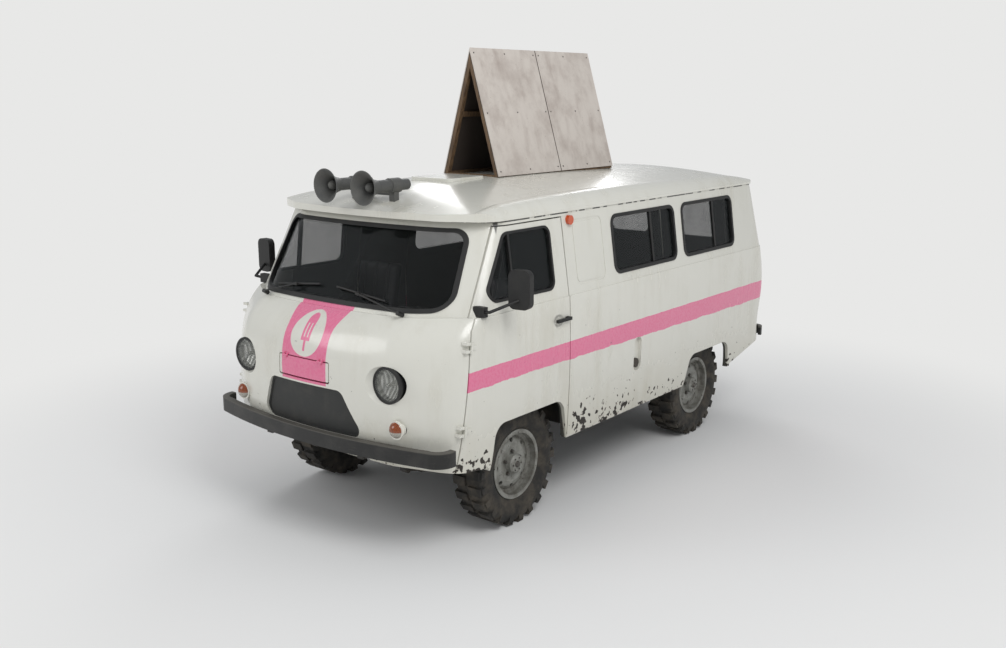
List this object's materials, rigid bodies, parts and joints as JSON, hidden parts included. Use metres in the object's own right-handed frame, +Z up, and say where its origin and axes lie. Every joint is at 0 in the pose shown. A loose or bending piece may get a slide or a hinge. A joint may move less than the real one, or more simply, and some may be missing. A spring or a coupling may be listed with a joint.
{
  "type": "ice cream truck",
  "caption": "Forward-control ice cream truck with a rounded nose, opening doors, steered front wheels, horn speakers and a blank A-shaped sign on its roof",
  "frame": {"origin": "on the ground, midway along and across the vehicle", "axes": "+X to the vehicle's left, -Y forwards, +Z up"},
  "size_m": [2.347, 4.3396, 2.944],
  "materials": {
    "body_paint": "off-white gloss paint, grimy, with rust chips along the lower edges",
    "under_paint": "black chassis paint, dusty",
    "bumper_paint": "worn black paint",
    "wheel_paint": "grey paint, dusty and chipped",
    "chrome_trim": "bright rim",
    "clear_lens": "clear ribbed lens",
    "amber_lens": "translucent amber plastic",
    "window_glass": "lightly tinted glass",
    "seal_rubber": "black rubber section",
    "tyre_rubber": "dusty black tread rubber",
    "engine_iron": "plain cast iron",
    "exhaust_steel": "rusty dull steel",
    "floor_mat": "ribbed black mat over sheet metal",
    "dash_paint": "dark grey satin paint",
    "black_plastic": "black moulded plastic",
    "seat_vinyl": "black vinyl cover",
    "horn_paint": "dark grey moulded bells",
    "sign_wood": "brown stained batten",
    "sign_board": "off-white painted sheet, water stained, blank"
  },
  "bodies": {
    "body": {"body_glass": "window_glass", "cab_floor": "floor_mat", "chassis_frame": "under_paint", "dashboard": "dash_paint", "driveline": "under_paint", "engine": "engine_iron", "engine_cover": "dash_paint", "exhaust": "exhaust_steel", "front_axle": "under_paint", "front_bumper": "bumper_paint", "front_panel": "body_paint", "fuel_tanks": "under_paint", "grille": "bumper_paint", "headlamps": "chrome_trim", "horn_speakers": "horn_paint", "lamp_lenses": "clear_lens", "load_deck": "floor_mat", "marker_lamps": "amber_lens", "rear_axle": "under_paint", "rear_bumper": "bumper_paint", "roof": "body_paint", "seats": "seat_vinyl", "side_panel_left": "body_paint", "side_panel_right": "body_paint", "sign_boards": "sign_board", "sign_frame": "sign_wood", "suspension": "under_paint", "tail_frame": "body_paint", "window_rubbers": "seal_rubber", "wipers": "black_plastic"},
    "wheel_front_left": {"wheel_front_left": "wheel_paint", "tyre_front_left": "tyre_rubber"},
    "wheel_front_right": {"wheel_front_right": "wheel_paint", "tyre_front_right": "tyre_rubber"},
    "wheel_rear_left": {"wheel_rear_left": "wheel_paint", "tyre_rear_left": "tyre_rubber"},
    "wheel_rear_right": {"wheel_rear_right": "wheel_paint", "tyre_rear_right": "tyre_rubber"},
    "knuckle_left": {"knuckle_left": "under_paint"},
    "knuckle_right": {"knuckle_right": "under_paint"},
    "tie_rod": {"tie_rod": "under_paint"},
    "steering_wheel": {"steering_wheel": "black_plastic"},
    "front_door_left": {"front_door_left": "body_paint", "front_door_glass_left": "window_glass", "front_door_fittings_left": "seal_rubber"},
    "front_door_right": {"front_door_right": "body_paint", "front_door_glass_right": "window_glass", "front_door_fittings_right": "seal_rubber"},
    "side_door": {"side_door": "body_paint", "side_door_glass": "window_glass"},
    "rear_door_left": {"rear_door_left": "body_paint", "rear_door_glass_left": "window_glass"},
    "rear_door_right": {"rear_door_right": "body_paint", "rear_door_glass_right": "window_glass"},
    "nose_flap": {"nose_flap": "body_paint"},
    "roof_hatch": {"roof_hatch": "body_paint"}
  },
  "joints": [
    {"name": "steer_left", "type": "hinge", "parent": "body", "child": "knuckle_left", "pos_m": [0.64, -1.19, 0.386], "axis": [0, 0, 1], "range_deg": [-27, 27]},
    {"name": "steer_right", "type": "hinge", "parent": "body", "child": "knuckle_right", "pos_m": [-0.64, -1.19, 0.386], "axis": [0, 0, 1], "range_deg": [-27, 27]},
    {"name": "tie_rod_pin", "type": "hinge", "parent": "knuckle_left", "child": "tie_rod", "pos_m": [0.64, -1.358, 0.4], "axis": [0, 0, 1], "range_deg": [-27, 27]},
    {"name": "steering_column", "type": "hinge", "parent": "body", "child": "steering_wheel", "pos_m": [0.43, -1.52, 1.29], "axis": [0, 0.5686, 0.8226], "range_deg": [-540, 540]},
    {"name": "roll_front_left", "type": "hinge", "parent": "knuckle_left", "child": "wheel_front_left", "pos_m": [0.75, -1.19, 0.386], "axis": [1, 0, 0], "continuous": true},
    {"name": "roll_front_right", "type": "hinge", "parent": "knuckle_right", "child": "wheel_front_right", "pos_m": [-0.75, -1.19, 0.386], "axis": [1, 0, 0], "continuous": true},
    {"name": "roll_rear_left", "type": "hinge", "parent": "body", "child": "wheel_rear_left", "pos_m": [0.75, 1.11, 0.386], "axis": [1, 0, 0], "continuous": true},
    {"name": "roll_rear_right", "type": "hinge", "parent": "body", "child": "wheel_rear_right", "pos_m": [-0.75, 1.11, 0.386], "axis": [1, 0, 0], "continuous": true},
    {"name": "front_door_left_hinge", "type": "hinge", "parent": "body", "child": "front_door_left", "pos_m": [0.973, -1.75028, 1.408], "axis": [0, 0.1301, 0.9915], "range_deg": [-70, 0]},
    {"name": "front_door_right_hinge", "type": "hinge", "parent": "body", "child": "front_door_right", "pos_m": [-0.973, -1.75028, 1.408], "axis": [0, 0.1301, 0.9915], "range_deg": [0, 70]},
    {"name": "side_door_hinge", "type": "hinge", "parent": "body", "child": "side_door", "pos_m": [-0.976, -0.289, 1.2], "axis": [0, 0, 1], "range_deg": [0, 88]},
    {"name": "rear_door_left_hinge", "type": "hinge", "parent": "body", "child": "rear_door_left", "pos_m": [0.625, 2.115, 1.015], "axis": [0, -0.0713, 0.9975], "range_deg": [-105, 0]},
    {"name": "rear_door_right_hinge", "type": "hinge", "parent": "body", "child": "rear_door_right", "pos_m": [-0.625, 2.115, 1.015], "axis": [0, -0.0713, 0.9975], "range_deg": [0, 105]},
    {"name": "nose_flap_hinge", "type": "hinge", "parent": "body", "child": "nose_flap", "pos_m": [0, -2.163, 1.131], "axis": [1, 0, 0], "range_deg": [-80, 0]},
    {"name": "roof_hatch_hinge", "type": "hinge", "parent": "body", "child": "roof_hatch", "pos_m": [0, -0.665, 2.106], "axis": [1, 0, 0], "range_deg": [-50, 0]}
  ],
  "couplings": [
    {"joint": "steer_right", "follows": "steer_left", "ratio": 1},
    {"joint": "tie_rod_pin", "follows": "steer_left", "ratio": -1},
    {"joint": "steering_column", "follows": "steer_left", "ratio": 20}
  ]
}
